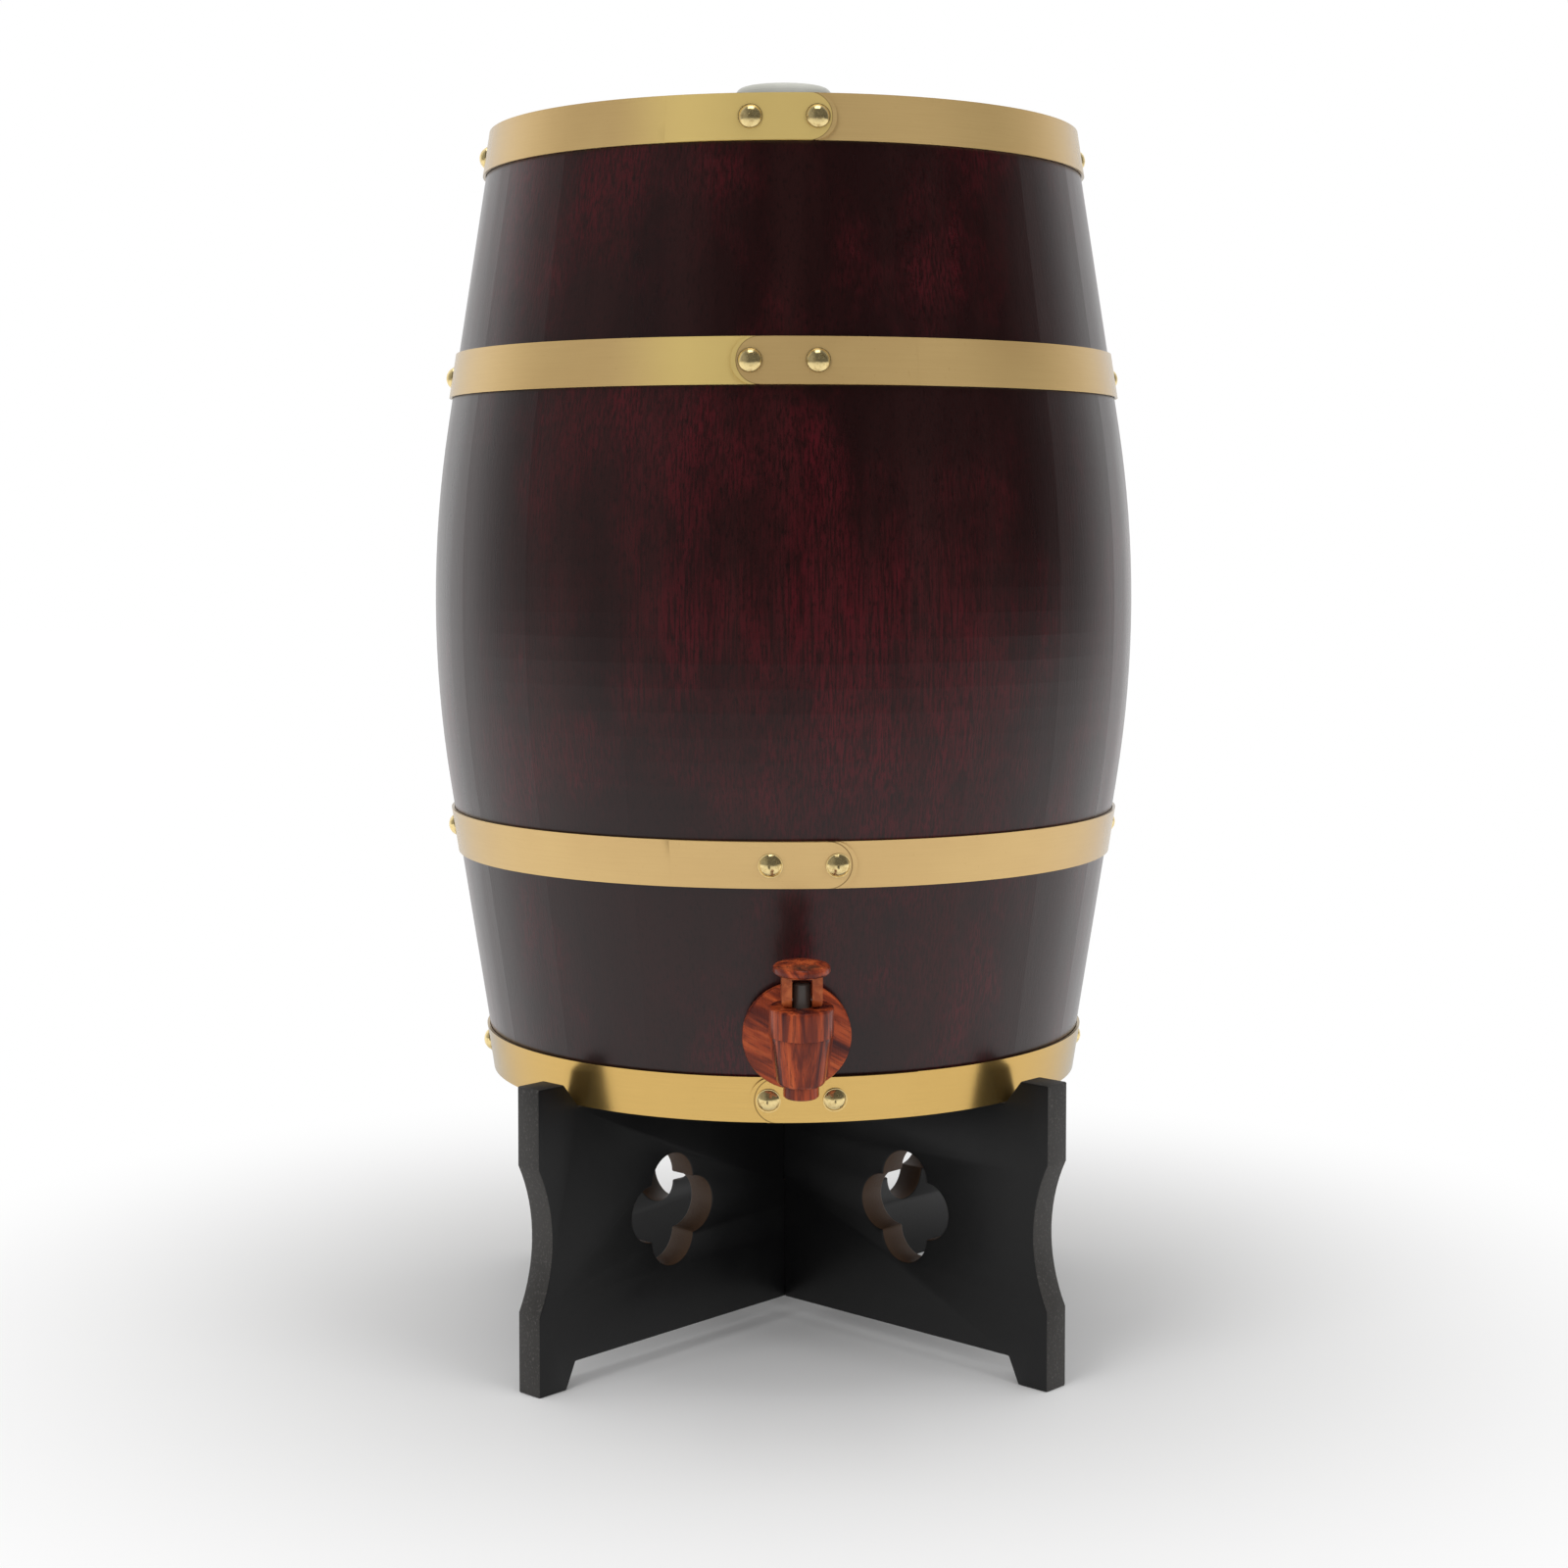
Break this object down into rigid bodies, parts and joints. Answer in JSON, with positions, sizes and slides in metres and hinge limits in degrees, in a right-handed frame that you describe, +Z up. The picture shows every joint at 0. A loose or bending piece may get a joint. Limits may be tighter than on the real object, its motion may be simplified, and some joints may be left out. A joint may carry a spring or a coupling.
{
  "type": "oak cask drink dispenser",
  "caption": "Coopered wooden cask standing upright on a crossed black stand, with brass hoops, a fill stopper and a lever tap near its foot.",
  "frame": {"origin": "on the floor, under the cask's axis, where the stand's two boards cross", "axes": "+Z up along the cask's axis; the tap faces -Y; +X to the right seen from the tap's side"},
  "size_m": [0.2526, 0.2834, 0.4505],
  "materials": {
    "lacquered_wood": "satin lacquer, dark red-brown, fine vertical grain",
    "hoop_brass": "satin",
    "nail_brass": "polished",
    "black_wood": "matte black paint",
    "rosewood_plastic": "printed wood grain, glossy",
    "dark_plastic": "satin",
    "white_silicone": "matte",
    "black_rubber": "matte",
    "pin_steel": "plain"
  },
  "bodies": {
    "stand": {"stand_board_left": "black_wood", "stand_board_right": "black_wood"},
    "cask": {"stave_01": "lacquered_wood", "stave_02": "lacquered_wood", "stave_03": "lacquered_wood", "stave_04": "lacquered_wood", "stave_05": "lacquered_wood", "stave_06": "lacquered_wood", "stave_07": "lacquered_wood", "stave_08": "lacquered_wood", "stave_09": "lacquered_wood", "stave_10": "lacquered_wood", "stave_11": "lacquered_wood", "stave_12": "lacquered_wood", "stave_13": "lacquered_wood", "stave_14": "lacquered_wood", "stave_15": "lacquered_wood", "stave_16": "lacquered_wood", "stave_17": "lacquered_wood", "stave_18": "lacquered_wood", "stave_19": "lacquered_wood", "stave_20": "lacquered_wood", "top_head_board_1": "lacquered_wood", "top_head_board_2": "lacquered_wood", "top_head_board_3": "lacquered_wood", "bottom_head_board_1": "lacquered_wood", "bottom_head_board_2": "lacquered_wood", "bottom_head_board_3": "lacquered_wood", "hoop_top": "hoop_brass", "hoop_upper": "hoop_brass", "hoop_lower": "hoop_brass", "hoop_bottom": "hoop_brass", "nails_top": "nail_brass", "nails_upper": "nail_brass", "nails_lower": "nail_brass", "nails_bottom": "nail_brass", "tap_body": "rosewood_plastic", "tap_gasket": "black_rubber", "tap_inner_washer": "black_rubber", "tap_nut": "rosewood_plastic", "tap_bonnet": "rosewood_plastic"},
    "stopper": {"stopper": "white_silicone"},
    "stem": {"tap_stem": "dark_plastic", "tap_seal_cup": "white_silicone", "tap_lever_pin": "pin_steel"},
    "lever": {"tap_lever": "rosewood_plastic"}
  },
  "joints": [
    {"name": "cask_lift", "type": "slide", "parent": "stand", "child": "cask", "axis": [0, 0, 1], "range_m": [0, 0.06]},
    {"name": "stopper_pull", "type": "slide", "parent": "cask", "child": "stopper", "axis": [0, 0, 1], "range_m": [0, 0.05]},
    {"name": "stem_lift", "type": "slide", "parent": "cask", "child": "stem", "axis": [0, -0.0872, 0.9962], "range_m": [0, 0.00202]},
    {"name": "lever_tilt", "type": "hinge", "parent": "stem", "child": "lever", "pos_m": [0, -0.14718, 0.1446], "axis": [1, 0, 0], "range_deg": [0, 65]}
  ],
  "couplings": [
    {"joint": "stem_lift", "follows": "lever_tilt", "m_per_rad": 0.0017629}
  ]
}
